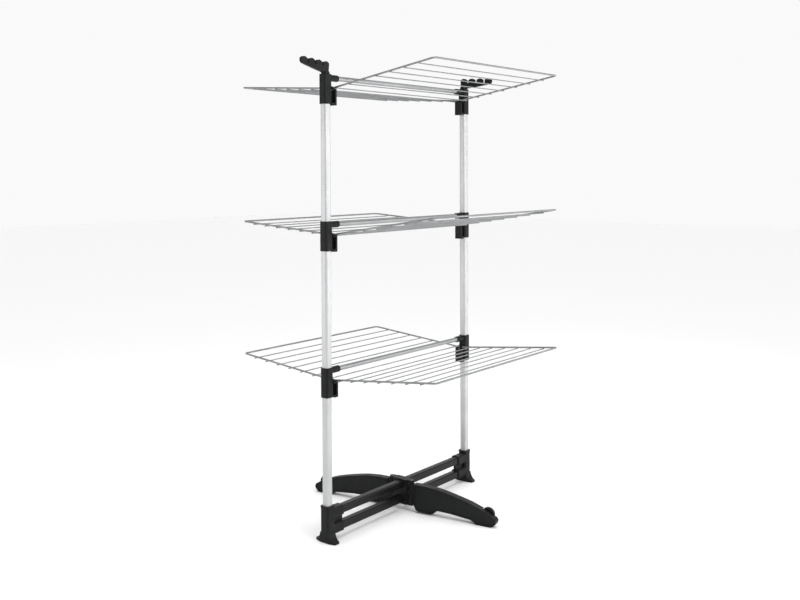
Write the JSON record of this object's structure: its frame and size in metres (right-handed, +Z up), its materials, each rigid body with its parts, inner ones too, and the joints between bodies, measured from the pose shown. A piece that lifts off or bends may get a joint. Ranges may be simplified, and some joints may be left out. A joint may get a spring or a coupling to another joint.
{
  "type": "clothes drying rack",
  "caption": "Free-standing folding clothes drying rack with fold-up wire wings on two posts, swivelling hanger arms, and folding wheeled legs.",
  "frame": {"origin": "on the floor, midway between the centre lines of the two posts", "axes": "+X from one post to the other along the crossbars and rails, +Y along the wings of one side, +Z up"},
  "size_m": [0.7543, 0.7101, 1.3001],
  "materials": {
    "post": "pale silver-grey powder coat on drawn steel tube",
    "crossbar": "mid-grey powder coat",
    "wire": "mid-grey coated steel wire",
    "bracket": "fine-textured black moulding",
    "base_plastic": "fine-textured black moulding",
    "hanger": "fine-textured black moulding",
    "rail": "satin black powder coat",
    "pin": "bright steel",
    "wheel": "smooth black moulding"
  },
  "bodies": {
    "stand": {"post_low_a": "post", "bracket_low_a": "bracket", "post_low_b": "post", "bracket_low_b": "bracket", "crossbar_low": "crossbar", "post_mid_a": "post", "bracket_mid_a": "bracket", "post_mid_b": "post", "bracket_mid_b": "bracket", "crossbar_mid": "crossbar", "post_top_a": "post", "bracket_top_a": "bracket", "post_top_b": "post", "bracket_top_b": "bracket", "crossbar_top": "crossbar", "foot_a": "base_plastic", "foot_b": "base_plastic", "rail_upper": "rail", "rail_lower": "rail", "hub": "base_plastic", "leg_pin_pos": "pin", "leg_pin_neg": "pin"},
    "wing_low_pos": {"wing_low_pos": "wire", "wires_low_pos": "wire"},
    "wing_low_neg": {"wing_low_neg": "wire", "wires_low_neg": "wire"},
    "wing_mid_pos": {"wing_mid_pos": "wire", "wires_mid_pos": "wire"},
    "wing_mid_neg": {"wing_mid_neg": "wire", "wires_mid_neg": "wire"},
    "wing_top_pos": {"wing_top_pos": "wire", "wires_top_pos": "wire"},
    "wing_top_neg": {"wing_top_neg": "wire", "wires_top_neg": "wire"},
    "leg_pos": {"leg_pos": "base_plastic", "axle_pos": "pin"},
    "wheel_pos": {"wheel_pos": "wheel"},
    "leg_neg": {"leg_neg": "base_plastic", "axle_neg": "pin"},
    "wheel_neg": {"wheel_neg": "wheel"},
    "hanger_a": {"hanger_a": "hanger"},
    "hanger_b": {"hanger_b": "hanger"}
  },
  "joints": [
    {"name": "wing_low_pos_fold", "type": "hinge", "parent": "stand", "child": "wing_low_pos", "pos_m": [0, 0.008, 0.435], "axis": [1, 0, 0], "range_deg": [0, 75.2]},
    {"name": "wing_low_neg_fold", "type": "hinge", "parent": "stand", "child": "wing_low_neg", "pos_m": [0, -0.008, 0.435], "axis": [-1, 0, 0], "range_deg": [0, 73.5]},
    {"name": "wing_mid_pos_fold", "type": "hinge", "parent": "stand", "child": "wing_mid_pos", "pos_m": [0, 0.008, 0.8295], "axis": [1, 0, 0], "range_deg": [0, 76]},
    {"name": "wing_mid_neg_fold", "type": "hinge", "parent": "stand", "child": "wing_mid_neg", "pos_m": [0, -0.008, 0.8295], "axis": [-1, 0, 0], "range_deg": [0, 71]},
    {"name": "wing_top_pos_fold", "type": "hinge", "parent": "stand", "child": "wing_top_pos", "pos_m": [0, 0.008, 1.224], "axis": [1, 0, 0], "range_deg": [0, 76.4]},
    {"name": "wing_top_neg_fold", "type": "hinge", "parent": "stand", "child": "wing_top_neg", "pos_m": [0, -0.008, 1.224], "axis": [-1, 0, 0], "range_deg": [0, 70.7]},
    {"name": "leg_pos_fold", "type": "hinge", "parent": "stand", "child": "leg_pos", "pos_m": [0, 0.036, 0.042], "axis": [0, 0, 1], "range_deg": [-100, 0]},
    {"name": "wheel_pos_spin", "type": "hinge", "parent": "leg_pos", "child": "wheel_pos", "pos_m": [-0.0352, 0.27654, 0.031], "axis": [0.9848, 0.1736, 0], "continuous": true},
    {"name": "leg_neg_fold", "type": "hinge", "parent": "stand", "child": "leg_neg", "pos_m": [0, -0.036, 0.042], "axis": [0, 0, 1], "range_deg": [-20, 80]},
    {"name": "wheel_neg_spin", "type": "hinge", "parent": "leg_neg", "child": "wheel_neg", "pos_m": [0.04919, -0.27408, 0.031], "axis": [0.9848, 0.1736, 0], "continuous": true},
    {"name": "hanger_a_swivel", "type": "hinge", "parent": "stand", "child": "hanger_a", "pos_m": [-0.32, 0, 1.2605], "axis": [0, 0, 1], "range_deg": [-90, 90]},
    {"name": "hanger_b_swivel", "type": "hinge", "parent": "stand", "child": "hanger_b", "pos_m": [0.32, 0, 1.2605], "axis": [0, 0, 1], "range_deg": [0, 180]}
  ]
}
